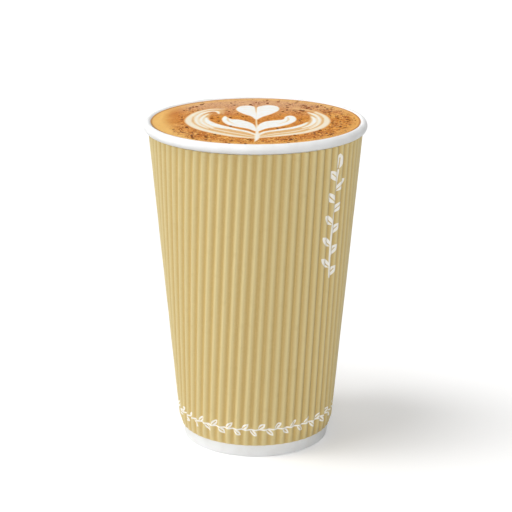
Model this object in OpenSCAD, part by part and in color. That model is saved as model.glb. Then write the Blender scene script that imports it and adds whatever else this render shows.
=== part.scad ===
// Paper cup of hot coffee with a rippled outer wrap.
// The cup stands on its folded foot, with the origin at the centre of the foot on the table.
// +Z points up the cup, and the front of the cup faces -Y.

/* [Cup] */
// Outside diameter of the rolled rim
rim_d = 90; // [84:1:94]
// Height from the table to the top of the rim
cup_h = 134; // [110:1:160]
// Outside diameter of the foot
base_d = 60; // [54:1:66]
// Thickness of the cup board
board_t = 0.35; // [0.28:0.01:0.42]
// Width of the side lap, where the two ends of the cup board overlap
cup_lap = 6; // [4:0.5:8]

/* [Rolled rim] */
// Width of the roll, from its inner side to its outer side
bead_w = 3.3; // [3:0.1:4]
// Height of the roll
bead_h = 4; // [3.4:0.1:5]
// Height of the side lap's step on the roll, where it is pressed flatter
lap_step = 0.15; // [0.1:0.01:0.3]
// Turns of board in the roll
bead_turns = 1.4; // [1.1:0.05:1.45]
// Clearance between the turns of the roll
turn_gap = 0.08; // [0.05:0.01:0.12]

/* [Foot] */
// Height of the drinking floor above the table
floor_z = 9; // [7:0.5:12]
// Thickness of the floor board
disc_t = 0.3; // [0.25:0.01:0.4]
// Bend radius between the floor and its turned-down skirt
disc_bend = 0.9; // [0.6:0.1:1.5]
// Height of the hem, the edge of the wall that is folded in and up
hem_h = 6; // [4:0.5:6.5]
// Bend radius of the fold under the foot, along the middle of the board
fold_r = 0.23; // [0.22:0.01:0.3]
// Clearance between the plies of the foot
ply_gap = 0.08; // [0.05:0.01:0.12]

/* [Ripple wrap] */
// Thickness of the wrap paper
wrap_t = 0.25; // [0.2:0.01:0.3]
// Height of a flute, from valley to crest
flute_h = 1; // [0.8:0.05:1.2]
// Distance from flute to flute
flute_pitch = 3.75; // [3.7:0.05:5]
// Clearance between the wrap's valleys and the cup
wrap_gap = 0.2; // [0.18:0.01:0.3]
// Height of the wrap's lower edge above the table
wrap_z = 5.3; // [4:0.1:10]
// Height over which the flutes are pressed down towards the wrap's lower edge
press_h = 4; // [2:0.5:8]
// Share of a flute's height that is left at that edge
press_share = 0.25; // [0:0.05:1]
// Gap between the wrap's upper edge and the roll
wrap_drop = 0.3; // [0.2:0.1:2]
// Width of the glued lap at the wrap's seam
wrap_lap = 8; // [7:0.5:12]
// Clearance between the two plies of that lap
lap_gap = 0.15; // [0.12:0.01:0.2]
// Angle from the front of the cup to where the flutes stand upright, opposite the seam
wrap_turn = 30; // [0:5:60]

/* [Coffee] */
// Distance from the top of the rim down to the drink
fill_drop = 0.5; // [0.4:0.1:1.2]
// Height that the drink climbs at its edge
meniscus_h = 0.15; // [0.1:0.05:0.3]
// Width of that climb
meniscus_w = 1.6; // [1:0.1:3]
// Clearance between the drink and the board
drink_gap = 0.06; // [0.04:0.01:0.1]

/* [Hidden] */
$fn = 180;

bead_steps = 40;     // chords along the roll
bend_steps = 6;      // chords in a small bend
flute_cuts = 5;      // chords along one flute's wave
wrap_rows = 7;       // bands of faces up the wrap, the lowest over its pressed edge
press_turn = 5;      // degrees over which the flutes are pressed flat beside the lap
press_edge = 1;      // degrees of pressed paper beyond the edge of the lap
slope_tries = 4;     // rounds that settle the slope of the wall
tuck_start = 270;    // angle round the roll at which the board turns in under its first turn
tuck_turn = 90;      // degrees over which it does so
way_step = 0.01;     // degrees either side of a point of the roll that give its direction
front = -90;         // angle of the front of the cup about Z

base_r = base_d / 2;
bead_mid = [rim_d / 2 - bead_w / 2, cup_h - bead_h / 2];
roll_a = (bead_w - board_t) / 2;
roll_b = (bead_h - board_t) / 2;

// Smooth step from 0 to 1
function ease(t) =
    let (c = min(1, max(0, t)))
    c * c * (3 - 2 * c);

// Slope of the wall, in degrees, at which it runs into the roll with no kink
function wall_slope(a, tries) =
    tries == 0 ? a :
    let (reach = norm([roll_a * cos(a), roll_b * sin(a)]) - board_t / 2)
    wall_slope(atan((bead_mid[0] - base_r - reach / cos(a)) / bead_mid[1]), tries - 1);

slope = wall_slope(0, slope_tries);
up = [sin(slope), cos(slope)];
out = [cos(slope), -sin(slope)];

// Point of the cup's section: l up the slope from the foot, n out from the wall's outer face
function on_wall(l, n) = [base_r, 0] + l * up + n * out;

// Distance up the slope at which a line n out from the wall reaches height z
function slope_at(z, n) = (z + n * sin(slope)) / cos(slope);

// A path through the middle of a sheet is a list of [point, side]. The side is the unit
// direction square to the path, to the left of the way along it.

// Arc about a centre, from one angle to another
function arc(mid, r, from, to) =
    [for (i = [0 : bend_steps])
        let (a = from + (to - from) * i / bend_steps)
        let (away = [cos(a), sin(a)])
        [mid + r * away, away * sign(from - to)]];

// Outline of a sheet that follows a path, from one offset to another to its left
function sheet(path, low, high) =
    let (last = len(path) - 1)
    concat(
        [for (i = [0 : last]) path[i][0] + path[i][1] * high],
        [for (i = [last : -1 : 0]) path[i][0] + path[i][1] * low]);

// Middle of the board in the roll, at angle u from its inner side over the top
function roll_point(u) =
    let (tuck = (board_t + turn_gap) * ease((u - tuck_start) / tuck_turn))
    bead_mid + [-(roll_a - tuck) * cos(u), (roll_b - tuck) * sin(u)];

roll_start = atan(roll_b * tan(slope) / roll_a);
roll_end = 360 * bead_turns;
function roll_path(from, to) =
    [for (i = [0 : bead_steps])
        let (u = from + (to - from) * i / bead_steps)
        let (d = roll_point(u + way_step) - roll_point(u - way_step))
        [roll_point(u), [-d[1], d[0]] / norm(d)]];

skirt_n = -(board_t + ply_gap + disc_t / 2);
hem_n = -(board_t + ply_gap + disc_t + ply_gap + board_t / 2);
fold_z = board_t / 2 + fold_r;
outer_fold_n = -(board_t / 2 + fold_r);
inner_fold_n = hem_n + fold_r;
outer_fold = on_wall(slope_at(fold_z, outer_fold_n), outer_fold_n);
inner_fold = on_wall(slope_at(fold_z, inner_fold_n), inner_fold_n);

// Middle of the cup board, from the top of the hem, round the foot and up to the roll
wall_path = concat(
    [[on_wall(slope_at(hem_h, hem_n), hem_n), out]],
    arc(inner_fold, fold_r, -180 - slope, -90),
    arc(outer_fold, fold_r, -90, -slope),
    roll_path(roll_start, roll_end));

drink_a = bead_w / 2 + drink_gap;
drink_b = bead_h / 2 + drink_gap;
drink_top = cup_h - fill_drop;
fill_angle = asin((drink_top - bead_mid[1]) / drink_b);

// Middle of the board along the side lap: up the wall, and over the roll from above the drink
lap_clear = 8;   // degrees round the roll from the drink to the lap's step
lap_tuck = 250;  // angle round the roll at which the step runs out of sight
wall_lap_path = [
    for (z = [fold_z, cup_h - bead_h - wrap_drop]) [on_wall(slope_at(z, 0), -board_t / 2), -out]];
roll_lap_path = roll_path(fill_angle + lap_clear, lap_tuck);

seam_angle = front + wrap_turn + 180;
cup_lap_turn = cup_lap / base_r * 180 / PI;

module side_lap(outline) {
    rotate([0, 0, seam_angle - cup_lap_turn / 2])
        rotate_extrude(angle = cup_lap_turn)
            polygon(outline);
}

module cup_wall() {
    color("#f4f3f0") {
        rotate_extrude()
            polygon(sheet(wall_path, -board_t / 2, board_t / 2));
        side_lap(sheet(wall_lap_path, -board_t * 3 / 2, 0));
        side_lap(sheet(roll_lap_path, 0, board_t / 2 + lap_step));
    }
}

disc_mid_z = floor_z - disc_t / 2;
bend_n = skirt_n - disc_bend;
bend_mid = on_wall(slope_at(disc_mid_z - disc_bend, bend_n), bend_n);
skirt_foot_z = board_t + ply_gap * 3;

// Middle of the floor board, from the cup's axis out, round the bend and down the skirt
disc_path = concat(
    [[[0, disc_mid_z], [0, 1]]],
    arc(bend_mid, disc_bend, 90, -slope),
    [[on_wall(slope_at(skirt_foot_z, skirt_n), skirt_n), out]]);

module base_disc() {
    color("#eeede9")
        rotate_extrude()
            polygon(sheet(disc_path, -disc_t / 2, disc_t / 2));
}

drink_foot = floor_z + drink_gap;
drink_n = -(board_t + drink_gap);
drink_edge = bead_mid[0] - drink_a * cos(fill_angle);

// Section of the drink: floor, wall, inner side of the roll, then in along the surface
drink_outline = concat(
    [[0, drink_foot]],
    [on_wall(slope_at(drink_foot, drink_n), drink_n)],
    [for (i = [0 : bend_steps])
        let (u = roll_start + (fill_angle - roll_start) * i / bend_steps)
        bead_mid + [-drink_a * cos(u), drink_b * sin(u)]],
    [for (i = [0 : bend_steps])
        let (t = i / bend_steps)
        [drink_edge - meniscus_w * t, drink_top + meniscus_h * pow(1 - t, 2)]],
    [[0, drink_top]]);

module coffee() {
    color("#b97f45")
        rotate_extrude()
            polygon(drink_outline);
}

// The wrap is cut from flat paper whose flutes all run parallel, then rolled on the cup.
// x lies across the flutes of the blank and y along them, with the cone's tip at zero.
wrap_n = wrap_gap + wrap_t / 2 + flute_h / 2;
wrap_base_r = base_r + wrap_n / cos(slope);
wrap_low = (wrap_base_r + wrap_z * tan(slope)) / sin(slope);
wrap_high = (wrap_base_r + (cup_h - bead_h - wrap_drop) * tan(slope)) / sin(slope);
wrap_lap_half = wrap_lap / 2 / base_r * 180 / PI;
pressed_half = max(wrap_lap_half, cup_lap_turn / 2) + press_edge;
blank_half = (180 + wrap_lap_half) * sin(slope);

cut_step = flute_pitch / flute_cuts;
corner_x = wrap_low * sin(blank_half);
end_x = wrap_high * sin(blank_half) - cut_step / 2;
cuts_x = [for (x = [0 : cut_step : end_x - cut_step / 3]) if (abs(x - corner_x) > cut_step / 3) x];
right_x = concat(
    [for (x = cuts_x) if (x < corner_x) x],
    [corner_x],
    [for (x = cuts_x) if (x > corner_x) x],
    [end_x]);
last_x = len(right_x) - 1;
columns_x = concat([for (i = [last_x : -1 : 1]) -right_x[i]], right_x);
columns = len(columns_x);
levels = wrap_rows + 1;
wrap_points = columns * levels;

// Lowest and highest y of the blank at x
function blank_foot(x) = abs(x) > corner_x ? abs(x) / tan(blank_half) : sqrt(pow(wrap_low, 2) - pow(x, 2));
function blank_head(x) = sqrt(pow(wrap_high, 2) - pow(x, 2));

// Distance up the blank at x of row i: the pressed edge first, then even rows
function row_y(x, i) =
    let (foot = blank_foot(x), tall = blank_head(x) - foot)
    let (pressed = min(press_h, tall / wrap_rows))
    foot + (i == 0 ? 0 : pressed + (tall - pressed) * (i - 1) / (wrap_rows - 1));

// Share of a flute's height at distance s from the cone's tip
function flute_share(s) = press_share + (1 - press_share) * ease((s - wrap_low) / press_h);

// Distance of the wrap's middle from the mean cone, at turn a from the upright flutes
function wrap_rise(x, a, share) =
    let (open = 180 - pressed_half)
    let (wave = ((1 - cos(360 * x / flute_pitch)) * share - 1) * flute_h / 2)
    let (fluted = ease((open - abs(a)) / press_turn))
    let (lift = (wrap_t + lap_gap) * ease((a - open + press_turn) / press_turn))
    wave * fluted + lift;

// Place on the cup of a point of the blank, moved out by side
function wrap_place(x, y, side) =
    let (s = norm([x, y]))
    let (a = atan2(x, y) / sin(slope))
    let (n = wrap_rise(x, a, flute_share(s)) + side)
    let (r = s * sin(slope) + n * cos(slope))
    let (turn = front + wrap_turn + a)
    [r * cos(turn), r * sin(turn), (s * sin(slope) - wrap_base_r) / tan(slope) - n * sin(slope)];

function wrap_face(side) =
    [for (x = columns_x, i = [0 : wrap_rows])
        wrap_place(x, row_y(x, i), side)];

// Two triangles of a band between four corners
function band(a, b, c, d) = [[a, b, c], [a, c, d]];

module ripple_wrap() {
    outer = [for (c = [0 : columns - 2], i = [0 : wrap_rows - 1])
        let (p = c * levels + i)
        each band(p, p + 1, p + levels + 1, p + levels)];
    inner = [for (c = [0 : columns - 2], i = [0 : wrap_rows - 1])
        let (p = wrap_points + c * levels + i)
        each band(p, p + levels, p + levels + 1, p + 1)];
    foot = [for (c = [0 : columns - 2])
        let (p = c * levels)
        each band(p, p + levels, p + levels + wrap_points, p + wrap_points)];
    head = [for (c = [0 : columns - 2])
        let (p = c * levels + wrap_rows)
        each band(p, p + wrap_points, p + levels + wrap_points, p + levels)];
    left_end = [for (i = [0 : wrap_rows - 1])
        each band(i, i + wrap_points, i + 1 + wrap_points, i + 1)];
    right_end = [for (i = [0 : wrap_rows - 1])
        let (p = (columns - 1) * levels + i)
        each band(p, p + 1, p + 1 + wrap_points, p + wrap_points)];
    color("#cbb583")
        polyhedron(
            points = concat(wrap_face(wrap_t / 2), wrap_face(-wrap_t / 2)),
            faces = concat(outer, inner, foot, head, left_end, right_end));
}

cup_wall();
base_disc();
ripple_wrap();
coffee();
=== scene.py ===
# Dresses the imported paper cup: rippled kraft wrap, white board, coffee with a poured milk figure.
from functools import partialmethod
from math import asin, atan, cos, degrees, hypot, pi, radians, sin, tan, tau

import bmesh
import bpy
import numpy as np
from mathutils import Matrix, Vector


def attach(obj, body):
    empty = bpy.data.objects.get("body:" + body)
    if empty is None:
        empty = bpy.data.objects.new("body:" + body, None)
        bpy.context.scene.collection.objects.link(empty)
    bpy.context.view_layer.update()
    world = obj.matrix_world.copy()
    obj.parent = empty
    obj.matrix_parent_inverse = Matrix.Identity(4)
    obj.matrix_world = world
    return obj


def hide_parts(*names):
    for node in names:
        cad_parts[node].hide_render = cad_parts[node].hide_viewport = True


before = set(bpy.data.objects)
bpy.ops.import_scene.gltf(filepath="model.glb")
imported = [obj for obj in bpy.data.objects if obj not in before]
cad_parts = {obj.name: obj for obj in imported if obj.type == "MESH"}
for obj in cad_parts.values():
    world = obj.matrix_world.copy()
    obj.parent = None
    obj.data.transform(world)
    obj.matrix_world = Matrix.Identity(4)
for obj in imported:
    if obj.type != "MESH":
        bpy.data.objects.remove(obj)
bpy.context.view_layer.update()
print("frame loaded")

mm = 0.001

# Sizes that several pieces share, in millimetres and degrees
cup = {
    "rimRadius": 45,
    "height": 134,
    "footRadius": 30,
    "board": 0.35,
    "rollWidth": 3.3,
    "rollHeight": 4,
    "plyGap": 0.08,
    "seamTurn": 120,  # where the side seam stands, about Z from +X
}
# The board's roll at the rim is an ellipse: its middle, and half its width and height
rollMiddle = (cup["rimRadius"] - cup["rollWidth"] / 2, cup["height"] - cup["rollHeight"] / 2)
rollHalf = ((cup["rollWidth"] - cup["board"]) / 2, (cup["rollHeight"] - cup["board"]) / 2)


def eased(value, start, end):
    # 0 at start and 1 at end, eased at both
    held = np.clip((value - start) / (end - start), 0, 1)
    return held * held * (3 - 2 * held)


def paint(red, green, blue):
    # A colour as a picture editor shows it, made linear for a shader
    parts = [((c / 255 + 0.055) / 1.055) ** 2.4 if c > 10 else c / 255 / 12.92 for c in (red, green, blue)]
    return (*parts, 1)


def feed(tree, socket, value):
    if isinstance(value, Wire):
        tree.links.new(value.socket, socket)
    elif isinstance(value, bpy.types.NodeSocket):
        tree.links.new(value, socket)
    else:
        socket.default_value = value


def feedAll(tree, node, values):
    for name, value in values.items():
        feed(tree, node.inputs[name], value)


def addNode(tree, kind, inputs=None, **settings):
    node = tree.nodes.new(kind)
    for name, value in settings.items():
        setattr(node, name, value)
    feedAll(tree, node, inputs or {})
    return node


def calc(tree, operation, *values):
    node = addNode(tree, "ShaderNodeMath", dict(enumerate(values)), operation=operation)
    return Wire(tree, node.outputs[0])


class Wire:
    # A value on its way through a node tree, so that a formula reads as one
    def __init__(self, tree, socket):
        self.tree = tree
        self.socket = socket

    def use(self, operation, *others):
        return calc(self.tree, operation, self, *others)

    def useLast(self, operation, other):
        # The same with this value as the second one
        return calc(self.tree, operation, other, self)

    __add__ = __radd__ = partialmethod(use, "ADD")
    __mul__ = __rmul__ = partialmethod(use, "MULTIPLY")
    __sub__ = partialmethod(use, "SUBTRACT")
    __rsub__ = partialmethod(useLast, "SUBTRACT")
    __truediv__ = partialmethod(use, "DIVIDE")
    __rtruediv__ = partialmethod(useLast, "DIVIDE")
    __neg__ = partialmethod(use, "MULTIPLY", -1)

    def ease(self, start, end):
        # As eased does, inside the tree
        node = addNode(self.tree, "ShaderNodeMapRange", {"Value": self, "From Min": start, "From Max": end},
                       interpolation_type="SMOOTHSTEP")
        return Wire(self.tree, node.outputs["Result"])


def reach(first, second):
    return (first * first + second * second).use("SQRT")


def splitVector(tree, vector):
    node = addNode(tree, "ShaderNodeSeparateXYZ", {"Vector": vector})
    return [Wire(tree, socket) for socket in node.outputs]


def joinVector(tree, x, y, z):
    return addNode(tree, "ShaderNodeCombineXYZ", {"X": x, "Y": y, "Z": z}).outputs[0]


def noiseWire(tree, vector, size, detail=2, roughness=0.5):
    node = addNode(tree, "ShaderNodeTexNoise", {
        "Vector": vector, "Scale": 1 / size, "Detail": detail, "Roughness": roughness})
    return Wire(tree, node.outputs["Fac"])


def keptWire(tree, name):
    # A value that the piece keeps on its points
    return Wire(tree, addNode(tree, "ShaderNodeAttribute", attribute_name=name).outputs["Fac"])


def mixColour(tree, factor, first, second):
    # By number, because the node has a socket of each name for every kind of value
    return addNode(tree, "ShaderNodeMix", {0: factor, 6: first, 7: second}, data_type="RGBA").outputs[2]


# What a geometry tree takes and gives
solid = {"Geometry": "Geometry"}


def newGroup(name, kind, inputs, outputs):
    # Each socket is given as a word for its kind, or as the number that it starts from
    tree = bpy.data.node_groups.new(name, kind)
    for side, sockets in (("INPUT", inputs), ("OUTPUT", outputs)):
        for label, given in sockets.items():
            word = given if isinstance(given, str) else type(given).__name__.title()
            socket = tree.interface.new_socket(name=label, in_out=side, socket_type="NodeSocket" + word)
            if given != word:
                socket.default_value = given
    start = addNode(tree, "NodeGroupInput")
    end = addNode(tree, "NodeGroupOutput")
    wires = {socket.name: Wire(tree, socket) for socket in start.outputs if socket.name}
    return tree, wires, end


def placeGroup(tree, group, values):
    return addNode(tree, tree.bl_idname.replace("Tree", "Group"), values, node_tree=group)


def newMaterial(name):
    material = bpy.data.materials.new(name)
    material.use_nodes = True
    return material, material.node_tree


def dress(tree, colour, rough, gloss, relief=None, depth=0):
    # Gives a material its colour, roughness, gloss, and relief of a depth in millimetres
    shader = tree.nodes["Principled BSDF"]
    feedAll(tree, shader, {"Base Color": colour, "Roughness": rough, "Specular IOR Level": gloss})
    if relief:
        bump = addNode(tree, "ShaderNodeBump", {"Height": relief, "Distance": depth * mm})
        feed(tree, shader.inputs["Normal"], bump.outputs["Normal"])
    return shader


def placeOn(tree):
    return addNode(tree, "ShaderNodeTexCoord").outputs["Object"]


def addObject(name, data):
    added = bpy.data.objects.new(name, data)
    bpy.context.scene.collection.objects.link(added)
    return added


def newPiece(name, points, faces):
    mesh = bpy.data.meshes.new(name)
    mesh.from_pydata(points, [], faces)
    return addObject(name, mesh)


def shapeWith(piece, tree, values):
    # Runs a Geometry Nodes tree on a piece, with the values set before it is first evaluated
    modifier = piece.modifiers.new(tree.name, "NODES")
    modifier.node_group = tree
    for item in tree.interface.items_tree:
        if item.in_out == "INPUT" and item.name in values:
            modifier[item.identifier] = values[item.name]


def keepOn(tree, geometry, name, kind, value, domain="POINT"):
    # Keeps a value for the finish to read
    keep = addNode(tree, "GeometryNodeStoreNamedAttribute",
                   {"Geometry": geometry, "Name": name, "Value": value}, data_type=kind, domain=domain)
    return keep.outputs[0]


def endTree(tree, geometry, wires, end):
    for kind in ("GeometryNodeSetShadeSmooth", "GeometryNodeRealizeInstances"):
        geometry = addNode(tree, kind, {"Geometry": geometry}).outputs[0]
    finish = addNode(tree, "GeometryNodeSetMaterial", {"Geometry": geometry, "Material": wires["Finish"]})
    feed(tree, end.inputs["Geometry"], finish.outputs[0])


def bakeModifiers(piece):
    graph = bpy.context.evaluated_depsgraph_get()
    made = bpy.data.meshes.new_from_object(
        piece.evaluated_get(graph), preserve_all_data_layers=True, depsgraph=graph)
    piece.modifiers.clear()
    piece.data = made
    made.name = piece.name


def shade(piece, sharp):
    piece.data.shade_smooth()
    piece.data.set_sharp_from_angle(angle=radians(sharp))


def wallSlope():
    # The slope at which the wall runs into the roll with no kink
    a, b = rollHalf
    turn = 0
    for _ in range(4):
        side = hypot(a * cos(turn), b * sin(turn)) - cup["board"] / 2
        turn = atan((rollMiddle[0] - cup["footRadius"] - side / cos(turn)) / rollMiddle[1])
    return turn


slope = wallSlope()
# Where on the roll the wall runs into it
rollStart = atan(rollHalf[1] * tan(slope) / rollHalf[0])


def onWall(height, out):
    # Section point at a height over the table, out from the wall's outer face
    along = (height + out * sin(slope)) / cos(slope)
    return cup["footRadius"] + along * sin(slope) + out * cos(slope), height


# Camera, as the photograph was taken
view = {
    "eye": (0.15, -701.3, 291.7),
    "tilt": 17.06,  # degrees down
    "lens": 125.3,
    "sensor": 36,
    "nearest": 10,
}

cameraData = bpy.data.cameras.new("camera")
cameraData.lens = view["lens"]
cameraData.sensor_width = view["sensor"]
cameraData.clip_start = view["nearest"] * mm
camera = addObject("camera", cameraData)
camera.location = Vector(view["eye"]) * mm
camera.rotation_euler = (radians(90 - view["tilt"]), 0, 0)
bpy.context.scene.camera = camera
bpy.context.scene.view_settings.view_transform = "Standard"

# Each lamp's turn from the front towards the right, its rise over the table and its width as the
# cup sees it, all in degrees, and its strength
lamps = {
    "highKey": (-70, 68, 26, 1.27),
    "lowSide": (-88, 20, 30, 1.27),
    "front": (0, 11, 28, 1.36),
    "backFill": (-150, 30, 70, 0.36),
    "rightFill": (95, 60, 60, 0.08),
}
surround = {"light": 0.3, "seen": 1.0}
floor = {
    "side": 12000,
    "tone": 0.85,  # as the camera sees it, straight or in a gloss
    "bounce": 0.52,  # as it lights the cup
    "glow": 0.25,
    "roughness": 0.9,
    "gloss": 0,
}


def addLamp(name, turn, rise, spread, strength):
    data = bpy.data.lights.new(name, "SUN")
    data.angle = radians(spread)
    data.energy = strength
    lamp = addObject(name, data)
    turn, rise = radians(turn), radians(rise)
    away = Vector((sin(turn) * cos(rise), -cos(turn) * cos(rise), sin(rise)))
    lamp.rotation_euler = away.to_track_quat("Z", "Y").to_euler()


def seenWhite(tree):
    # 1 for what the camera sees, straight or in a gloss or glass
    path = addNode(tree, "ShaderNodeLightPath").outputs
    seen = calc(tree, "MAXIMUM", path["Is Camera Ray"], path["Is Glossy Ray"])
    return seen.use("MAXIMUM", path["Is Transmission Ray"])


def buildSurround():
    world = bpy.data.worlds.new("surround")
    world.use_nodes = True
    tree = world.node_tree
    level = seenWhite(tree) * (surround["seen"] - surround["light"]) + surround["light"]
    feedAll(tree, tree.nodes["Background"], {"Color": (1, 1, 1, 1), "Strength": level})
    bpy.context.scene.world = world


def buildFloor():
    half = floor["side"] / 2 * mm
    corners = [(-half, -half, 0), (half, -half, 0), (half, half, 0), (-half, half, 0)]
    piece = newPiece("floor", corners, [(0, 1, 2, 3)])
    material, tree = newMaterial("paleFloor")
    tone = seenWhite(tree) * (floor["tone"] - floor["bounce"]) + floor["bounce"]
    shader = dress(tree, tone, floor["roughness"], floor["gloss"])
    glow = seenWhite(tree) * floor["glow"]
    feedAll(tree, shader, {"Emission Color": (1, 1, 1, 1), "Emission Strength": glow})
    piece.data.materials.append(material)


for name, values in lamps.items():
    addLamp(name, *values)
buildSurround()
buildFloor()
print("camera, lamps and floor ready")


# Finish that all paper shares
fibre = {
    "turns": (0.2, 0.9, 1.7, 2.5),  # of each layer of hairs, in radians
    "clear": (0.6, 0.78),  # how strong the noise is where a hair starts to show, and is clear
    "tooth": 0.7,  # grain of the surface against the width of a hair
}


def buildPaperFibre():
    tree, wires, end = newGroup(
        "paperFibre", "ShaderNodeTree",
        {"Vector": "Vector", "Cloud Size": 4 * mm, "Fibre Width": 0.12 * mm, "Fibre Length": 1.2 * mm},
        {"Cloud": "Float", "Fibres": "Float", "Tooth": "Float"})
    width = 1 / wires["Fibre Width"]
    along = 1 / wires["Fibre Length"]
    cloud = noiseWire(tree, wires["Vector"], wires["Cloud Size"], 4)
    tooth = noiseWire(tree, wires["Vector"], wires["Fibre Width"] / fibre["tooth"])
    fibres = None
    for turn in fibre["turns"]:
        turned = addNode(tree, "ShaderNodeVectorRotate", {"Vector": wires["Vector"], "Angle": turn},
                         rotation_type="Z_AXIS")
        x, y, z = splitVector(tree, turned.outputs[0])
        drawn = joinVector(tree, x * width, y * along, z * width)
        hair = noiseWire(tree, drawn, 1, 1)
        fibres = hair if fibres is None else fibres.use("MAXIMUM", hair)
    feedAll(tree, end, {"Cloud": cloud, "Fibres": fibres.ease(*fibre["clear"]), "Tooth": tooth})
    return tree


paperFibre = buildPaperFibre()


def useFibre(tree, place, clouds, width, along):
    node = placeGroup(tree, paperFibre, {
        "Vector": place, "Cloud Size": clouds * mm, "Fibre Width": width * mm, "Fibre Length": along * mm})
    return [Wire(tree, node.outputs[name]) for name in ("Cloud", "Fibres", "Tooth")]


# White coated board of the cup and its floor
board = {
    "tone": paint(241, 242, 242),
    "shade": paint(231, 230, 228),  # where the fibre below shows through the coating
    "cloudSize": 6,
    "clouds": (0.3, 0.7),  # levels of the noise between which they show
    "clouding": 0.6,
    "hair": (0.1, 0.9),  # width and length
    "hairs": 0.3,
    "hairRise": 0.5,
    "roughness": 0.42,
    "uneven": 0.12,
    "gloss": 0.5,
    "tooth": 0.012,
}


def boardMaterial():
    material, tree = newMaterial("coatedBoard")
    cloud, fibres, tooth = useFibre(tree, placeOn(tree), board["cloudSize"], *board["hair"])
    shaded = cloud.ease(*board["clouds"]) * board["clouding"] + fibres * board["hairs"]
    rough = board["roughness"] + (cloud - 0.5) * board["uneven"] + fibres * (board["uneven"] / 3)
    dress(tree, mixColour(tree, shaded, board["tone"], board["shade"]), rough, board["gloss"],
          tooth + fibres * board["hairRise"], board["tooth"])
    return material


coatedBoard = boardMaterial()

wall = {
    "foldRadius": 0.23,
    "hemHeight": 6,
    "discBoard": 0.3,
    "rollTurns": 1.4,
    "turnGap": 0.08,
    "tuck": (270, 360),  # turns of the roll over which it winds inside itself
    "rollSteps": 60,
    "foldSteps": 6,
    "hemSteps": 3,
    "wallSteps": 10,
    "lapWidth": 6,
    "lapStep": 0.15,
    "lapSoft": 0.12,  # over which the edge of the lap is pressed down
    "lapOverFold": (0.1, 0.4),  # heights over which the lap starts inside the fold
    "lapOut": (70, 80),  # turns of the roll where the lap steps out
    "lapIn": (260, 240),
    "segments": 360,
    "sharp": 35,  # degrees from which an edge stays sharp
    "waver": 0.04,  # how far the rolled rim strays inwards from a true circle
    "waverFrom": (10, 70),
}


def wallPath():
    # Middle of the board from the top of the hem, round the fold and up to the inside of the roll,
    # as (radius, height, side radius, side height, place), where place is "low", "wall" or a turn
    half = cup["board"] / 2
    outward = (cos(slope), -sin(slope))
    hemOut = -(cup["board"] + cup["plyGap"] * 2 + wall["discBoard"] + half)
    bend = wall["foldRadius"]
    foldHeight = half + bend
    path = []
    for t in np.linspace(wall["hemHeight"], foldHeight, wall["hemSteps"] + 1)[:-1]:
        path.append((*onWall(t, hemOut), *outward, "low"))
    for middleOut, first, last in ((hemOut + bend, -180 - degrees(slope), -90),
                                   (-(half + bend), -90, -degrees(slope))):
        middle = onWall(foldHeight, middleOut)
        for turn in np.radians(np.linspace(first, last, wall["foldSteps"] + 1)):
            away = (cos(turn), sin(turn))
            path.append((middle[0] + bend * away[0], middle[1] + bend * away[1], -away[0], -away[1], "low"))
    start = degrees(rollStart)

    def rollPoint(turn):
        tuck = (cup["board"] + wall["turnGap"]) * eased(turn, *wall["tuck"])
        angle = radians(turn)
        return rollMiddle + (np.array(rollHalf) - tuck) * (-cos(angle), sin(angle))

    top = rollPoint(start)
    for height in np.linspace(foldHeight, top[1], wall["wallSteps"] + 1)[1:-1]:
        path.append((*onWall(height, -half), -outward[0], -outward[1], "wall"))
    for turn in np.linspace(start, 360 * wall["rollTurns"], wall["rollSteps"] + 1):
        way = rollPoint(turn + 0.01) - rollPoint(turn - 0.01)
        way /= np.linalg.norm(way)
        path.append((*rollPoint(turn), -way[1], way[0], turn))
    return path


def wallTurns():
    # Angles about Z: even steps, with close ones where the lap's edges step down
    turns = list(np.arange(wall["segments"]) * 360 / wall["segments"])
    half = degrees(wall["lapWidth"] / 2 / cup["footRadius"])
    soft = degrees(wall["lapSoft"] / cup["footRadius"])
    for edge in (cup["seamTurn"] - half, cup["seamTurn"] + half):
        turns = [turn for turn in turns if abs(turn - edge) > soft * 2]
        turns += [edge - soft, edge - soft / 3, edge + soft / 3, edge + soft]
    turns = np.array(sorted(turns))
    lap = eased(np.abs(turns - cup["seamTurn"]), half + soft, half - soft)
    return np.radians(turns), lap


def buildWall():
    path = wallPath()
    turns, lap = wallTurns()
    half = cup["board"] / 2
    outline = [(*step, half) for step in path] + [(*step, -half) for step in reversed(path)]
    points = []
    for radius, height, sideR, sideZ, place, offset in outline:
        onRoll = not isinstance(place, str)
        extra = 0
        if place == "wall" and offset < 0:
            extra = -cup["board"]
        elif place == "low" and offset < 0 and sideR < 0:
            extra = -cup["board"] * eased(height, *wall["lapOverFold"])
        elif onRoll and offset > 0:
            extra = wall["lapStep"] * eased(place, *wall["lapOut"]) * eased(place, *wall["lapIn"])
        reachOut = offset + extra * lap
        waver = 0
        if onRoll:
            start, full = wall["waverFrom"]
            waver = -wall["waver"] * (0.5 + 0.25 * np.sin(3 * turns + 1) + 0.25 * np.sin(7 * turns))
            waver = waver * np.clip((place - start) / (full - start), 0, 1)
        spread = radius + sideR * reachOut + waver
        rise = np.maximum(height + sideZ * reachOut, 0)
        points.append(np.stack([spread * np.cos(turns), spread * np.sin(turns), rise], 1))
    here = np.arange(len(points) * len(turns)).reshape(len(points), -1)
    there = np.roll(here, -1, 0)
    faces = np.stack([here, np.roll(here, -1, 1), np.roll(there, -1, 1), there], -1).reshape(-1, 4)
    points = np.concatenate(points) * mm
    piece = newPiece("rolled_cup_wall", points.tolist(), faces.tolist())
    turnOutwards(piece)
    shade(piece, wall["sharp"])
    piece.data.materials.append(coatedBoard)
    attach(piece, "root")
    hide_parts("cup_wall")


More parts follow.
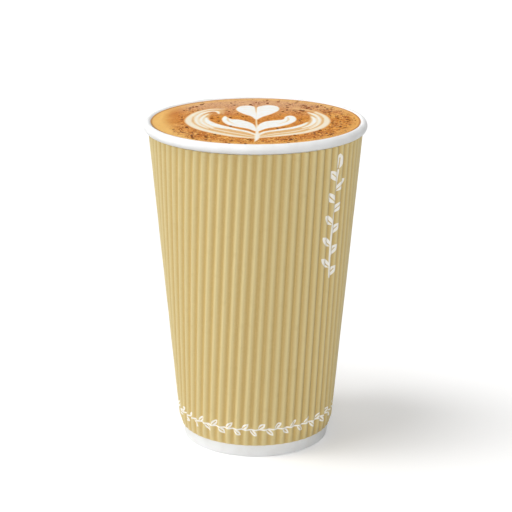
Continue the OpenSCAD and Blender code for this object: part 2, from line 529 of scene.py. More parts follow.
def turnOutwards(piece):
    # Flips the faces of a closed mesh that encloses a negative volume
    shell = bmesh.new()
    shell.from_mesh(piece.data)
    if shell.calc_volume(signed=True) < 0:
        piece.data.flip_normals()
    shell.free()


buildWall()
for slot in bpy.data.objects["base_disc"].material_slots:
    slot.material = coatedBoard
print("cup wall and floor disc ready")


# Ripple wrap: flat kraft paper with parallel flutes, rolled on the cup
wrap = {
    "paper": 0.25,
    "fluteHeight": 1.0,
    "fluteEdge": 0.93,  # 0 for a plain wave, nearly 1 for straight flanks and sharp crests
    "flutePitch": 3.75,
    "cupGap": 0.2,
    "lowerEdge": 5.3,
    "rimGap": 0.3,
    "lap": 8,
    "lapGap": 0.15,
    "uprightTurn": 30,  # degrees from the front to where the flutes stand upright
    "pressTurn": 5,  # degrees over which flutes are pressed flat beside the lap
    "pressEdge": 1,
    "pressHeight": 4,  # of the lower edge, where flutes are pressed down
    "pressShare": 0.25,  # of a flute's height left at that edge
    "waver": 0.16,  # how far a flute strays sideways
    "strayEach": (0.45, 14),  # how fast that changes, to a flute and to the metre along it
    "lowShare": 0.12,  # how much lower the lowest flutes are
    "lowEach": (0.9, 9),
    "samples": 14,  # across each flute
    "rows": 32,
    "rowGrowth": 1.5,  # rows lie closer towards the foot
    "sideTrim": 0.4,
    "sharp": 40,
    "seed": 7,
}
kraft = {
    # The flutes' valleys are painted darker and their crests paler: painted shade in the hollows and a
    # painted highlight on the crests
    "valley": paint(199, 170, 103),
    "crest": paint(217, 198, 141),
    "crests": (0.1, 0.9),
    "dark": paint(190, 163, 100),
    "fibre": paint(226, 208, 158),
    "cloudSize": 5,
    "clouds": (0.55, 0.75),
    "clouding": 0.2,
    "specks": (0.5, 0.8),
    "specking": 0.15,
    "hair": (0.14, 1.6),  # width and length
    "hairs": 0.35,
    "rubbed": (0.6, 1),  # crests, where they are smoother
    "sheen": 0.05,
    "roughness": 0.45,
    "uneven": 0.15,
    "gloss": 0.6,
    "tooth": 0.02,
    "rise": 0.6,
}
ink = {
    "tone": paint(252, 250, 243),
    "cover": 0.94,
    "wear": 0.4,  # how much of it the paper's tooth leaves out
    "worn": (0.55, 0.8),  # where it does
    "line": 0.68,
    "soft": 0.06,
    "ribHalf": 0.2,
    "rib": (0.2, 0.28),  # shares of a leaf over which its bare rib ends
    "sprigTurn": 50,  # degrees from the front, towards the right
    "sprigHeight": 97,  # of its middle
    "sprigHalf": 23,
    "sprigReach": 40,  # radius of the cup there
    "sprigSway": 0.9,
    "swayEach": 0.09,
    "sprigFoot": (0.9, 1.1),
    "sprigWide": (7, 6.9),
    "sprig": {"step": 9, "start": 1, "lean": 46, "long": 6.4, "wide": 3},
    "bandHeight": 12.6,
    "bandReach": 32,
    "band": {"step": tau * 32 / 30, "start": 1, "lean": 44, "long": 3.9, "wide": 1.9},  # 30 round
    "bandWide": (4, 3.9),
    "bandEnd": (0.1, 0.12),  # from the seam, as the sine of half the turn
}


def flatSheet():
    # Sizes of the blank, from the cone's tip, in millimetres and radians
    out = wrap["cupGap"] + wrap["paper"] / 2 + wrap["fluteHeight"] / 2
    mean = cup["footRadius"] + out / cos(slope)
    lapHalf = wrap["lap"] / 2 / cup["footRadius"]
    pressed = max(lapHalf, wall["lapWidth"] / cup["footRadius"]) + radians(wrap["pressEdge"])
    half = (pi + lapHalf) * sin(slope)
    top = cup["height"] - cup["rollHeight"] - wrap["rimGap"]
    low = (mean + wrap["lowerEdge"] * tan(slope)) / sin(slope)
    high = (mean + top * tan(slope)) / sin(slope)
    return {
        "Slope": slope, "Mean Radius": mean * mm, "Lower Edge": low * mm, "Upper Edge": high * mm,
        "Blank Half Turn": half, "Open Half Turn": pi - pressed, "Press Turn": radians(wrap["pressTurn"]),
        "Paper": wrap["paper"] * mm, "Lap Gap": wrap["lapGap"] * mm,
        "Flute Height": wrap["fluteHeight"] * mm, "Flute Pitch": wrap["flutePitch"] * mm,
        "Press Height": wrap["pressHeight"] * mm, "Press Share": wrap["pressShare"],
        "Flute Edge": wrap["fluteEdge"], "Waver": wrap["waver"] * mm,
        "Upright Turn": radians(wrap["uprightTurn"] - 90)}


sheetSizes = flatSheet()


def rollOnCup():
    # Moves flat paper, x across the flutes and y along them, to its place on the cup
    tree, wires, end = newGroup("rollOnCup", "GeometryNodeTree", {**solid, **sheetSizes}, solid)
    sheet = addNode(tree, "GeometryNodeInputPosition").outputs[0]
    x, y, z = splitVector(tree, sheet)
    pitch = wires["Flute Pitch"]
    sine, cosine = wires["Slope"].use("SINE"), wires["Slope"].use("COSINE")
    away = reach(x, y)
    turn = x.use("ARCTAN2", y) / sine
    turned = turn.use("ABSOLUTE")
    strayX, strayY = wrap["strayEach"]
    stray = noiseWire(tree, joinVector(tree, x / pitch * strayX, y * strayY, wrap["seed"]), 1, 1)
    lowX, lowY = wrap["lowEach"]
    low = noiseWire(tree, joinVector(tree, x / pitch * lowX, y * lowY, wrap["seed"] + 5), 1, 0)
    edge = wires["Flute Edge"]
    wave = ((x + (stray - 0.5) * 2 * wires["Waver"]) / pitch * tau).use("COSINE")
    wave = (wave * edge).use("ARCSINE") / edge.use("ARCSINE")
    fluted = wires["Open Half Turn"]
    flat = turned.ease(fluted, fluted - wires["Press Turn"])
    share = (away - wires["Lower Edge"]).ease(0, wires["Press Height"]) * (1 - wires["Press Share"])
    share = (share + wires["Press Share"]) * (1 - low * wrap["lowShare"])
    lift = (wires["Paper"] + wires["Lap Gap"]) * turn.ease(fluted - wires["Press Turn"], fluted)
    out = lift + ((1 - wave) * share - 1) * (wires["Flute Height"] / 2) * flat + z
    radius = away * sine + out * cosine
    about = turn + wires["Upright Turn"]
    rise = (away * sine - wires["Mean Radius"]) / (sine / cosine) - out * sine
    place = joinVector(tree, radius * about.use("COSINE"), radius * about.use("SINE"), rise)
    kept = keepOn(tree, wires["Geometry"], "flatSheet", "FLOAT_VECTOR", sheet)
    kept = keepOn(tree, kept, "crest", "FLOAT", 0.5 - wave * flat * 0.5)
    moved = addNode(tree, "GeometryNodeSetPosition", {"Geometry": kept, "Position": place})
    feed(tree, end.inputs["Geometry"], moved.outputs[0])
    return tree


def fluteTree():
    tree, wires, end = newGroup(
        "flutedWrap", "GeometryNodeTree",
        {**solid, "Columns": 100, "Rows": 8, "Finish": "Material", **sheetSizes}, solid)
    half = wires["Blank Half Turn"]
    low, high = wires["Lower Edge"], wires["Upper Edge"]
    corner = low * half.use("SINE")
    endX = high * half.use("SINE") - wrap["sideTrim"] * mm
    grid = addNode(tree, "GeometryNodeMeshGrid", {
        "Size X": endX * 2, "Size Y": 1, "Vertices X": wires["Columns"], "Vertices Y": wires["Rows"]})
    x, y = splitVector(tree, addNode(tree, "GeometryNodeInputPosition").outputs[0])[:2]
    step = endX * 2 / (wires["Columns"] - 1)
    apart = x.use("ABSOLUTE")
    near = (apart - corner).use("ABSOLUTE").use("LESS_THAN", step * 0.5)
    x = x.use("SIGN") * (apart + (corner - apart) * near)
    foot = (x.use("ABSOLUTE") / half.use("TANGENT")).use(
        "MAXIMUM", (low * low - x * x).use("MAXIMUM", 0).use("SQRT"))
    head = (high * high - x * x).use("SQRT")
    along = (y + 0.5).use("POWER", wrap["rowGrowth"])
    place = joinVector(tree, x, foot + (head - foot) * along, 0)
    cut = addNode(tree, "GeometryNodeSetPosition", {"Geometry": grid.outputs["Mesh"], "Position": place})
    sizes = {name: wires[name] for name in sheetSizes}
    rolled = placeGroup(tree, rolling, {"Geometry": cut.outputs[0], **sizes})
    endTree(tree, rolled.outputs["Geometry"], wires, end)
    return tree


def leafShape():
    # A pointed leaf with a bare rib, its foot at zero and its tip up Y, in millimetres
    tree, wires, end = newGroup(
        "leafShape", "ShaderNodeTree",
        {"Across": 0.0, "Along": 0.0, "Long": 6.0, "Wide": 2.6}, {"Mask": "Float"})
    across = wires["Across"].use("ABSOLUTE")
    along = wires["Along"] - wires["Long"] * 0.5
    curve = (wires["Long"] * wires["Long"] + wires["Wide"] * wires["Wide"]) / (wires["Wide"] * 4)
    side = reach(across + curve - wires["Wide"] * 0.5, along) - curve
    soft = ink["soft"]
    rib = across.ease(ink["ribHalf"] + soft, ink["ribHalf"] - soft)
    rib = rib * along.ease(wires["Long"] * ink["rib"][1], wires["Long"] * ink["rib"][0])
    feed(tree, end.inputs["Mask"], side.ease(soft, -soft) * (1 - rib))
    return tree


def vine(tree, leaf, across, along, sizes):
    # A stem with leaves on alternate sides
    half = ink["line"] / 2
    apart = across.use("ABSOLUTE")
    stem = apart.ease(half + ink["soft"], half - ink["soft"])
    later = across.use("LESS_THAN", 0) * (sizes["step"] / 2)
    step = (along + later).use("FLOORED_MODULO", sizes["step"]) - sizes["start"]
    lean = radians(sizes["lean"])
    side = placeGroup(tree, leaf, {
        "Across": apart * cos(lean) - step * sin(lean),
        "Along": apart * sin(lean) + step * cos(lean),
        "Long": sizes["long"], "Wide": sizes["wide"]})
    return stem.use("MAXIMUM", side.outputs[0])


def inkMask(tree, place):
    # A leafy sprig up the right side, and a vine of small leaves round above the foot
    x, y, z = splitVector(tree, place)
    turn = x.use("ARCTAN2", -y)
    leaf = leafShape()
    across = (turn - radians(ink["sprigTurn"])) * ink["sprigReach"]
    along = z / mm - (ink["sprigHeight"] - ink["sprigHalf"])
    across = across + (along * ink["swayEach"]).use("SINE") * ink["sprigSway"]
    length = ink["sprigHalf"] * 2
    leaves = ink["sprig"]
    tip = placeGroup(tree, leaf, {
        "Across": across, "Along": along - length, "Long": leaves["long"], "Wide": leaves["wide"]})
    within = along.ease(*ink["sprigFoot"]) * along.ease(length + ink["soft"], length - ink["soft"])
    sprig = vine(tree, leaf, across, along, leaves) * within
    sprig = sprig.use("MAXIMUM", tip.outputs[0]) * across.use("ABSOLUTE").ease(*ink["sprigWide"])
    high = z / mm - ink["bandHeight"]
    bandMask = vine(tree, leaf, high, (turn + tau) * ink["bandReach"], ink["band"])
    bandMask = bandMask * high.use("ABSOLUTE").ease(*ink["bandWide"])
    seam = (cup["seamTurn"] + 90) % 360
    fromSeam = ((turn - radians(seam)) / 2).use("SINE").use("ABSOLUTE")
    return sprig.use("MAXIMUM", bandMask * fromSeam.ease(*ink["bandEnd"]))


def kraftMaterial():
    material, tree = newMaterial("flutedKraft")
    sheetPlace = addNode(tree, "ShaderNodeAttribute", attribute_name="flatSheet").outputs["Vector"]
    cloud, fibres, tooth = useFibre(tree, sheetPlace, kraft["cloudSize"], *kraft["hair"])
    crest = keptWire(tree, "crest")
    # Painted shade in the valleys and a painted highlight on the crests, by how near the crest each place is
    sheet = mixColour(tree, crest.ease(*kraft["crests"]), kraft["valley"], kraft["crest"])
    darker = cloud.ease(*kraft["clouds"]) * kraft["clouding"]
    darker = darker + tooth.ease(*kraft["specks"]) * kraft["specking"]
    sheet = mixColour(tree, darker, sheet, kraft["dark"])
    sheet = mixColour(tree, fibres * kraft["hairs"], sheet, kraft["fibre"])
    printed = inkMask(tree, placeOn(tree)) * (ink["cover"] - tooth.ease(*ink["worn"]) * ink["wear"])
    rough = kraft["roughness"] + (cloud - 0.5) * kraft["uneven"]
    rough = rough + (fibres - crest.ease(*kraft["rubbed"])) * kraft["sheen"]
    dress(tree, mixColour(tree, printed, sheet, ink["tone"]), rough, kraft["gloss"],
          (tooth + fibres) * kraft["rise"], kraft["tooth"])
    return material


rolling = rollOnCup()


def buildWrap():
    piece = newPiece("fluted_wrap", [], [])
    tree = fluteTree()
    span = 2 * sheetSizes["Upper Edge"] * sin(sheetSizes["Blank Half Turn"]) / mm
    columns = round(span / wrap["flutePitch"] * wrap["samples"])
    shapeWith(piece, tree, {
        **sheetSizes, "Columns": columns, "Rows": wrap["rows"], "Finish": kraftMaterial()})
    thick = piece.modifiers.new("paper", "SOLIDIFY")
    thick.thickness = wrap["paper"] * mm
    thick.offset = 0
    thick.use_even_offset = True
    bakeModifiers(piece)
    turnOutwards(piece)
    shade(piece, wrap["sharp"])
    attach(piece, "root")
    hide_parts("ripple_wrap")
    print("wrap ready:", len(piece.data.polygons), "faces")


buildWrap()


# Coffee, brimful, with a poured milk figure: a heart over a pair of petals between two wings
drink = {
    "drop": 0.5,
    "gap": 0.06,
    "meniscusHeight": 0.15,
    "meniscusWidth": 1.6,
    "floor": 9.06,
    "wallHeights": (90, 50),  # where the side has a ring of points
    "lines": 280,  # across the surface
    "steps": 7,  # in each curve of the section
    "relief": 0.03,
    "edge": 2,  # over which the relief dies out at the brim
    "sharp": 40,
    "soft": {"halo": 14, "relief": 3, "froth": 4},  # how often each is blurred
}
crema = {
    "plain": paint(221, 147, 30),
    "rich": paint(196, 110, 6),
    "pale": paint(238, 189, 105),
    "misty": paint(215, 172, 136),  # paler, pinker crema towards the back: painted haze of steam
    "deep": paint(150, 78, 14),
    "dark": paint(84, 36, 12),
    # line: darker brown round the brim, where the coffee meets the roll: painted shade
    "line": paint(176, 110, 52),
    "tan": paint(228, 184, 124),
    "cream": paint(243, 227, 197),
    "milk": paint(247, 249, 248),
    "roughness": 0.5,
    "uneven": 0.12,
    "gloss": 0.06,
    "bump": 0.06,
    "rises": (0.6, 0.4, 0.6),  # of the foam, its fine grain and the dark spots, the last downwards
    "cloud": 8,  # sizes of its noises
    "foam": 0.7,
    "fine": 0.25,
    "mottle": 2.2,
    "clump": 6,
    "swirl": (0.5, 5),  # how fast it changes outwards and round
    "leftwards": (-0.95, -0.25),
    # How much paler the crema is painted on the left, the lit side: painted light
    "leftPaintedLight": 0.9,
    "stray": 9,  # how far the tones on the left wander
    "patchy": (0.75, 0.4),
    "grain": 0.05,  # how grainy it is where it isn't coarse
    "spots": ((2.5, 0.2), (1.25, 0.14)),  # cell with one dark spot at most, and its size at most
    "spotLeast": 0.08,
    "spotShare": 0.75,
    "spotCover": 0.92,
    "ragged": 0.25,  # how far the foam breaks up the spots' edges
    "frayed": 0.45,  # and the milk's
}
# How each tone comes in: where it starts, where it is whole, and its share there
fades = {
    "rich": (0.6667, 1.3, 1),
    "misty": (4, 32, 0.8),
    "left": (27, 40, 1),
    "bandStart": (20, 27, 1),
    "bandEnd": (37, 30, 0.6),
    "rim": (35.5, 41, 0.6),
    "line": (41.2, 41.8, 0.7),
    "halo": (0.03, 0.4, 0.45),
    "paleGrain": (0.47, 0.4, 0.8),
    "richGrain": (0.49, 0.55, 0.8),
    "deepGrain": (0.56, 0.61, 1),
    "clump": (0.36, 0.6, 1),
    "chosen": (-0.02, 0.02, 1),
    "spot": (-0.07, 0.07, 1),
    "tan": (0.06, 0.42, 1),
    "cream": (0.36, 0.74, 1),
    "milk": (0.7, 1, 1),
    "thin": (0.4, 0.62, 0.35),
}
# Where the crema is coarse, in millimetres from the middle, to the left, back and right
froth = {"ring": (18, 28), "rim": (40.4, 35.4), "left": (27, 34), "back": (12, 26), "right": (22, 10),
         "leftwards": (-0.98, 0.05), "inside": 0.4, "leftLess": 0.97, "backLess": 0.6,
         "clearOfMilk": (0.15, 0.03)}

# Each stroke of milk: how white, how wide its edge blurs, half its width along the way, and the way
strokes = {
    "leftHaze": (0.3, 2.0, (0.5, 1.4, 1.3, 0.6), ((-19, 18.5), (-16, 20), (-13.8, 17), (-13.4, 12))),
    "leftOuter": (0.8, 1.8, (0.5, 1.3, 1.3, 1.5, 1.4, 1.2, 0.9, 0.5), (
        (0, -31), (-9, -27), (-19.5, -18), (-25, -9), (-27.1, 1), (-24.6, 13), (-19, 20.5), (-13, 21.5))),
    "leftSecond": (0.9, 1.4, (0.4, 0.7, 0.8, 0.8, 0.9, 0.9, 0.4), (
        (-19, -14), (-22.9, -6), (-24, 4), (-22, 13), (-18.4, 17.2), (-15.8, 16.6), (-15, 12.5))),
    "leftThird": (0.92, 1.4, (0.5, 0.8, 0.8, 0.7, 0.4), (
        (-17, -13), (-20.7, -6), (-22, 1), (-21.1, 7.5), (-19.4, 12))),
    "leftCore": (1.0, 1.4, (0.7, 1.6, 1.5, 1.0, 0.5), (
        (-11, -14.5), (-15, -10.6), (-18.3, -4.5), (-19.8, 0.5), (-20, 4.8))),
    "leftInner": (0.97, 1.4, (0.5, 1.0, 1.2, 1.3, 0.9, 0.4), (
        (0.3, -25.5), (-3.4, -19.8), (-8, -15.8), (-12.6, -11.2), (-15.9, -6.8), (-17.8, -3))),
    "rightHaze": (0.36, 2.0, (0.5, 1.3, 1.3, 1.2), ((27.4, 10), (24.8, 16), (21.6, 19), (16, 23))),
    "rightOuter": (0.78, 1.8, (0.5, 1.2, 1.3, 1.5, 1.4, 1.0, 0.6), (
        (1, -30), (9, -26.6), (18.5, -21.6), (25.4, -13), (28.5, -2.5), (28, 7.5), (24.6, 15.5))),
    "rightSecond": (0.9, 1.4, (0.4, 0.6, 0.7, 0.7, 0.9, 0.5), (
        (21.5, -15), (24.5, -8), (25.7, 0), (25.2, 6.5), (23.7, 11.2), (21.6, 14.8))),
    "rightThird": (1.0, 1.4, (0.4, 0.7, 0.9, 0.8, 0.4), (
        (18.6, -13.4), (21.6, -8.6), (23.3, -3), (23.7, 2.4), (22.8, 7))),
    "rightInner": (0.97, 1.4, (0.5, 1.0, 1.2, 1.3, 1.1, 0.5), (
        (1, -26), (3.6, -20.6), (9, -17), (14.6, -13.2), (18.4, -8.6), (20.6, -4))),
}
# Milk thinned to tan between two ways, from the foot of each wing to its top, and how it is laid
combs = {
    "left": (
        ((0.2, -27), (-4, -21.5), (-9, -17), (-14, -12), (-17.5, -6), (-19.6, 1), (-19.4, 8), (-17.6, 14)),
        ((0, -30.5), (-7, -27), (-14, -22.2), (-20, -16.5), (-24.4, -9), (-26.4, 0), (-25.6, 8),
         (-22.4, 16))),
    "right": (
        ((1, -27), (6, -21.4), (12, -17.8), (17, -13), (20.6, -7), (22.6, 0), (22.8, 7), (21.4, 13)),
        ((1.4, -29.5), (9, -26), (16, -22.6), (22.4, -16.6), (26.4, -9), (28.2, 0), (27.6, 8), (25, 15))),
}
comb = {
    "ways": 5,
    "fill": (0.34, 1.6, (0.8, 1.3, 1.6, 1.7, 1.5, 1.2, 0.9, 0.3)),
    "streak": (0.72, 0.9, (0.3, 0.55, 0.6, 0.5, 0.2, 0, 0, 0)),
}
# Outlines of what is all milk
shapeBlur = 1
shapes = {
    "leftLobe": (
        (-0.2, 24), (-1.2, 27), (-4, 28.2), (-6.8, 26.4), (-8.1, 21.5), (-7.2, 17), (-4.8, 12), (-1.8, 7.6),
        (0.2, 2), (0.3, 14)),
    "rightLobe": (
        (0.5, 24), (2.2, 27.4), (5.4, 29), (8.4, 27.5), (9.8, 23.4), (9.2, 17.8), (6.4, 12), (2.8, 6.6),
        (0.4, 2), (0.3, 14)),
    "leftPetal": (
        (0.3, -19), (-3.2, -14.6), (-7.4, -11.4), (-10.8, -8), (-12.9, -3), (-13.6, 3), (-12.5, 8.2),
        (-11.2, 5), (-9.6, 2.4), (-6.6, 1.6), (-3, -2.4), (-0.6, -8)),
    "rightPetal": (
        (0.6, -19.5), (4.4, -14.2), (9.6, -10.8), (13.8, -6), (16.2, 0), (16, 6.4), (14, 9), (12, 6.6),
        (11, 1.8), (7, 0), (3.4, -2.6), (1, -9)),
}
# The stem, and then the brown lines left between the milk
lastStrokes = {
    "stem": (0.9, 1, (0.2, 0.25, 0.35, 0.6, 0.95, 0.8, 0.15), (
        (0.3, 4), (0.3, -4), (0.6, -12), (0.6, -20), (0.6, -27), (0.4, -32.5), (-0.4, -36.5))),
    "cleft": (0.25, 0.5, (0.3, 0.3, 0.1), ((0.1, 28.5), (0.1, 23), (0.2, 15))),
    "leftStreak": (0.6, 0.5, (0.2, 0.5, 0.4, 0.2), ((-11.4, 5.4), (-11.2, 1), (-10.4, -2.4), (-8.6, -5.6))),
    "rightStreak": (0.6, 0.5, (0.2, 0.5, 0.4, 0.2), ((13, 6), (13.2, 1.4), (12, -2.8), (9.6, -6))),
    "leftGap": (0.42, 0.5, (0.15, 0.3, 0.3, 0.2), ((-17.4, -16.2), (-22.2, -10.4), (-25.2, -2), (-25.4, 7))),
    "rightGap": (0.36, 0.5, (0.15, 0.3, 0.35, 0.3), ((18, -19.4), (23, -13.6), (26.6, -5), (27.2, 5))),
}


def smoothWay(points, steps=8, closed=False):
    # A smooth way through a few points
    known = np.array(points, dtype=float)
    if closed:
        known = np.concatenate([known[-1:], known, known[:2]])
    else:
        known = np.concatenate([[2 * known[0] - known[1]], known, [2 * known[-1] - known[-2]]])
    way = []
    for a, b, c, d in zip(known, known[1:], known[2:], known[3:]):
        for t in np.arange(steps) / steps:
            way.append(0.5 * (2 * b + (c - a) * t + (2 * a - 5 * b + 4 * c - d) * t ** 2
                              + (3 * b - a - 3 * c + d) * t ** 3))
    if not closed:
        way.append(known[-2])
    return np.array(way)


def strokeDepth(x, y, way, halves, margin=4, outside=-1e3):
    # How deep each place lies inside a stroke, and below zero outside it
    best = np.full(x.shape, outside)
    near = (x > way[:, 0].min() - margin) & (x < way[:, 0].max() + margin)
    near &= (y > way[:, 1].min() - margin) & (y < way[:, 1].max() + margin)
    px, py = x[near], y[near]
    found = np.full(px.shape, outside)
    for (ax, ay), (bx, by), first, second in zip(way, way[1:], halves, halves[1:]):
        dx, dy = bx - ax, by - ay
        t = np.clip(((px - ax) * dx + (py - ay) * dy) / (dx * dx + dy * dy + 1e-9), 0, 1)
        apart = np.hypot(px - ax - t * dx, py - ay - t * dy)
        found = np.maximum(found, first + (second - first) * t - apart)
    best[near] = found
    return best


def shapeDepth(x, y, way):
    closed = np.concatenate([way, way[:1]])
    edge = -strokeDepth(x, y, closed, np.zeros(len(closed)))
    inside = np.zeros(x.shape, dtype=bool)
    for (ax, ay), (bx, by) in zip(closed, closed[1:]):
        if ay == by:
            continue
        crosses = (ay > y) != (by > y)
        inside ^= crosses & (x < (bx - ax) * (y - ay) / (by - ay) + ax)
    return np.where(inside, edge, -edge)


def pourMilk(x, y):
    # How white the surface is, from 0 on plain crema to 1 on milk
    milk = np.zeros(x.shape)

    def lay(depth, white, soft):
        cover = eased(depth, -soft / 2, soft / 2)
        milk[:] = milk * (1 - cover) + white * cover

    def layStroke(white, soft, widths, points):
        way = smoothWay(points)
        along = np.linspace(0, len(widths) - 1, len(way))
        lay(strokeDepth(x, y, way, np.interp(along, range(len(widths)), widths)), white, soft)

    for sides in combs.values():
        inner, outer = np.array(sides)
        for share in np.linspace(0, 1, comb["ways"]):
            layStroke(*comb["fill"], inner * (1 - share) + outer * share)
        layStroke(*comb["streak"], (inner + outer) / 2)
    for stroke in strokes.values():
        layStroke(*stroke)
    for points in shapes.values():
        lay(shapeDepth(x, y, smoothWay(points, closed=True)), 1, shapeBlur)
    for stroke in lastStrokes.values():
        layStroke(*stroke)
    return milk


def softened(field, passes):
    for _ in range(passes):
        field = (np.roll(field, 1, 0) + np.roll(field, -1, 0) + field) / 3
        field = (np.roll(field, 1, 1) + np.roll(field, -1, 1) + field) / 3
    return field


def frothOn(x, y):
    # How coarse the crema is: a ring outside the figure, and little of it on the far left
    far = np.hypot(x, y)
    ring = eased(far, *froth["ring"]) * eased(far, *froth["rim"])
    leftX, leftY = froth["leftwards"]
    left = eased(leftX * x + leftY * y, *froth["left"])
    back = eased(y, *froth["back"]) * eased(x, *froth["right"])
    coarse = froth["inside"] + (1 - froth["inside"]) * ring
    return coarse * (1 - froth["leftLess"] * left) * (1 - froth["backLess"] * back)


def drinkSection():
    # From the edge of the flat surface up the meniscus, down the roll's inside, and to the floor
    a = cup["rollWidth"] / 2 + drink["gap"]
    b = cup["rollHeight"] / 2 + drink["gap"]
    top = cup["height"] - drink["drop"]
    brim = asin((top - rollMiddle[1]) / b)
    edge = rollMiddle[0] - a * cos(brim)
    section = [(edge - drink["meniscusWidth"] * t, top + drink["meniscusHeight"] * (1 - t) ** 2)
               for t in np.linspace(1, 0, drink["steps"])]
    section += [(rollMiddle[0] - a * cos(t), rollMiddle[1] + b * sin(t))
                for t in np.linspace(brim, rollStart, drink["steps"])[1:]]
    inside = -(cup["board"] + drink["gap"])
    section += [onWall(height, inside) for height in (*drink["wallHeights"], drink["floor"])]
    return section, top


def buildDrink():
    section, top = drinkSection()
    lines = drink["lines"]
    even = np.linspace(-1, 1, lines + 1)
    u, v = np.meshgrid(even, even, indexing="ij")
    inner = section[0][0]
    x = u * np.sqrt(1 - v * v / 2) * inner
    y = v * np.sqrt(1 - u * u / 2) * inner
    milk = pourMilk(x, y)
    soft = drink["soft"]
    halo = softened(milk, soft["halo"])
    lift = drink["relief"] * softened(milk, soft["relief"])
    lift *= eased(np.hypot(x, y), inner, inner - drink["edge"])
    points = np.stack([x, y, top + lift], -1).reshape(-1, 3)
    index = np.arange((lines + 1) ** 2).reshape(lines + 1, lines + 1)
    quads = np.stack([index[:-1, :-1], index[1:, :-1], index[1:, 1:], index[:-1, 1:]], -1).reshape(-1, 4)
    brim = np.concatenate([index[:-1, 0], index[-1, :-1], index[:0:-1, -1], index[0, :0:-1]])
    turns = np.arctan2(points[brim, 1], points[brim, 0])
    rings = [brim]
    pieces = [points]
    for radius, height in section[1:]:
        ring = np.stack([radius * np.cos(turns), radius * np.sin(turns), height + 0 * turns], 1)
        rings.append(np.arange(len(brim)) + sum(len(part) for part in pieces))
        pieces.append(ring)
    points = np.concatenate(pieces) * mm
    faces = quads.tolist()
    for upper, lower in zip(rings, rings[1:]):
        faces += np.stack([upper, lower, np.roll(lower, -1), np.roll(upper, -1)], 1).tolist()
    faces.append(rings[-1][::-1].tolist())
    piece = newPiece("poured_coffee", points.tolist(), faces)
    rest = len(points) - milk.size
    coarse = frothOn(x, y) * eased(softened(milk, soft["froth"]), *froth["clearOfMilk"])
    for name, field in (("milk", milk), ("halo", halo), ("froth", coarse)):
        kept = piece.data.attributes.new(name, "FLOAT", "POINT")
        kept.data.foreach_set("value", np.concatenate([field.ravel(), np.zeros(rest)]))
    turnOutwards(piece)
    shade(piece, drink["sharp"])
    piece.data.materials.append(coffeeMaterial())
    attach(piece, "root")
    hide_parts("coffee")
    print("coffee ready:", len(piece.data.polygons), "faces")
    return piece


def fade(wire, name):
    start, end, share = fades[name]
    return wire.ease(start, end) * share


def coffeeMaterial():
    material, tree = newMaterial("pouredCoffee")
    place = placeOn(tree)
    x, y = splitVector(tree, place)[:2]
    far = reach(x, y) / mm
    outwards, around = crema["swirl"]
    cloud = noiseWire(tree, place, crema["cloud"] * mm, 3)
    swirl = noiseWire(tree, joinVector(tree, far * outwards, x.use("ARCTAN2", -y) * around, 0), 1, 3)
    foam = noiseWire(tree, place, crema["foam"] * mm, 3, 0.6)
    fine = noiseWire(tree, place, crema["fine"] * mm)
    coarse = keptWire(tree, "froth")
    leftX, leftY = crema["leftwards"]
    leftwards = x / mm * leftX + y / mm * leftY + (cloud - 0.5) * crema["stray"]
    left = fade(leftwards, "left")

    def tint(base, share, tone):
        return mixColour(tree, share, base, crema[tone])

    base = mixColour(tree, fade(cloud + swirl, "rich"), crema["plain"], crema["rich"])
    # Painted haze of steam: paler and pinker towards the back, less so on the left
    base = tint(base, fade(y / mm, "misty") * (1 - left), "misty")
    band = fade(leftwards, "bandStart") * fade(leftwards, "bandEnd")
    base = tint(base, band, "rich")
    # Paler near the brim all round, and more on the left, the lit side, where it is painted light
    edge = (left * crema["leftPaintedLight"] + fade(far, "rim")).use("MINIMUM", 1)
    least, more = crema["patchy"]
    base = tint(base, edge * (least + swirl * more), "pale")
    base = tint(base, fade(keptWire(tree, "halo"), "halo"), "rich")
    mottle = addNode(tree, "ShaderNodeTexNoise", {
        "Vector": place, "Scale": 1 / (crema["mottle"] * mm), "Detail": 4, "Roughness": 0.7,
        "Distortion": 1.6}, noise_dimensions="2D")
    mottle = Wire(tree, mottle.outputs["Fac"])
    grainy = coarse * (1 - crema["grain"]) + crema["grain"]
    for tone in ("pale", "rich", "deep"):
        base = tint(base, fade(mottle, tone + "Grain") * grainy, tone)
    clump = fade(noiseWire(tree, place, crema["clump"] * mm), "clump")
    for cell, most in crema["spots"]:
        spots = addNode(tree, "ShaderNodeTexVoronoi", {"Vector": place, "Scale": 1 / (cell * mm)},
                        voronoi_dimensions="2D")
        red, green = splitVector(tree, spots.outputs["Color"])[:2]
        spot = Wire(tree, spots.outputs["Distance"]) + (foam - 0.5) * crema["ragged"]
        chosen = fade(coarse * clump * crema["spotShare"] - red, "chosen")
        spotted = fade(green * most + crema["spotLeast"] - spot, "spot") * chosen
        base = tint(base, spotted * crema["spotCover"], "dark")
    warped = keptWire(tree, "milk")
    warped = warped + (foam - 0.5) * crema["frayed"] * (warped * (1 - warped) * 4)
    for tone in ("tan", "cream"):
        base = tint(base, fade(warped, tone), tone)
    whole = fade(warped, "milk") * (1 - fade(swirl, "thin"))
    base = tint(base, whole, "milk")
    # A darker line round the brim, where the coffee meets the roll: painted shade
    base = tint(base, fade(far, "line"), "line")
    foamRise, fineRise, spotFall = crema["rises"]
    relief = foam * foamRise + fine * fineRise + mottle * coarse - spotted * spotFall
    dress(tree, base, crema["roughness"] + foam * crema["uneven"], crema["gloss"], relief, crema["bump"])
    return material


bubbles = {
    "perArea": 0.7,  # to the square millimetre, where the crema is coarse
    "smallest": 0.3,
    "largest": 1.5,
    "most": 2.4,  # the higher, the fewer large ones
    "flat": 0.35,
    "clump": 5,
    "clumps": (0.46, 0.66),
    "sides": (8, 4),
    "seed": 11,
    "film": paint(160, 84, 20),
    "deep": paint(84, 34, 6),
    "speckle": 0.2,
    "toned": (0.9, 0.2),  # how far its own tone and the speckle change its colour
    "roughness": 0.5,
    "uneven": 0.15,
    "gloss": 0.08,
}


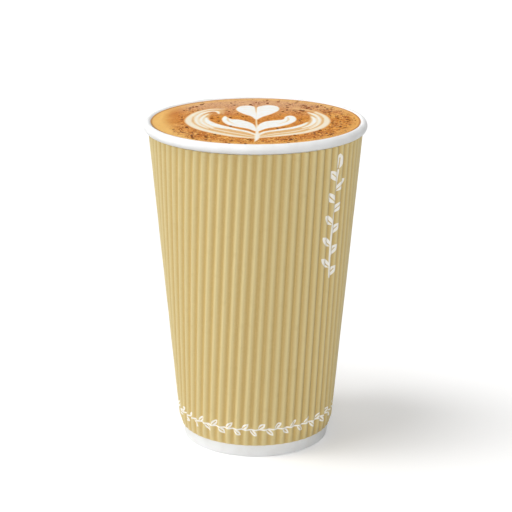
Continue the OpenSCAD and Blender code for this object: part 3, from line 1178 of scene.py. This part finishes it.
def bubbleTree():
    tree, wires, end = newGroup(
        "cremaBubbles", "GeometryNodeTree",
        {**solid, "Per Area": 1.0, "Smallest": 0.1 * mm, "Largest": 0.5 * mm, "Seed": 1,
         "Finish": "Material"}, solid)
    coarse = addNode(tree, "GeometryNodeInputNamedAttribute", {"Name": "froth"}, data_type="FLOAT")
    clumps = addNode(tree, "ShaderNodeTexNoise", {"Scale": 1 / (bubbles["clump"] * mm), "Detail": 2})
    often = Wire(tree, clumps.outputs["Fac"]).ease(*bubbles["clumps"])
    often = often * Wire(tree, coarse.outputs["Attribute"])
    points = addNode(tree, "GeometryNodeDistributePointsOnFaces", {
        "Mesh": wires["Geometry"], "Seed": wires["Seed"], "Density": often * wires["Per Area"]})
    segments, rings = bubbles["sides"]
    ball = addNode(tree, "GeometryNodeMeshUVSphere", {"Radius": 0.5, "Segments": segments, "Rings": rings})
    chance, tone = [addNode(tree, "FunctionNodeRandomValue", {"Seed": wires["Seed"] + more},
                            data_type="FLOAT").outputs[1] for more in (0, 3)]
    skewed = Wire(tree, chance).use("POWER", bubbles["most"])
    size = wires["Smallest"] + (wires["Largest"] - wires["Smallest"]) * skewed
    placed = addNode(tree, "GeometryNodeInstanceOnPoints", {
        "Points": points.outputs["Points"], "Instance": ball.outputs["Mesh"],
        "Scale": joinVector(tree, size, size, size * bubbles["flat"])})
    toned = keepOn(tree, placed.outputs[0], "tone", "FLOAT", tone, "INSTANCE")
    endTree(tree, toned, wires, end)
    return tree


def bubbleMaterial():
    material, tree = newMaterial("bubbleFilm")
    tone = keptWire(tree, "tone")
    speckle = noiseWire(tree, placeOn(tree), bubbles["speckle"] * mm)
    share = tone * tone * bubbles["toned"][0] + speckle * bubbles["toned"][1]
    dress(tree, mixColour(tree, share, bubbles["deep"], bubbles["film"]),
          bubbles["roughness"] + speckle * bubbles["uneven"], bubbles["gloss"])
    return material


def buildBubbles(surface):
    piece = newPiece("crema_bubbles", [], [])
    piece.data = surface.data.copy()
    shapeWith(piece, bubbleTree(), {
        "Per Area": bubbles["perArea"] / mm ** 2, "Smallest": bubbles["smallest"] * mm,
        "Largest": bubbles["largest"] * mm, "Seed": bubbles["seed"], "Finish": bubbleMaterial()})
    bakeModifiers(piece)
    turnOutwards(piece)
    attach(piece, "root")
    print("bubbles ready:", len(piece.data.polygons), "faces")


surface = buildDrink()
buildBubbles(surface)
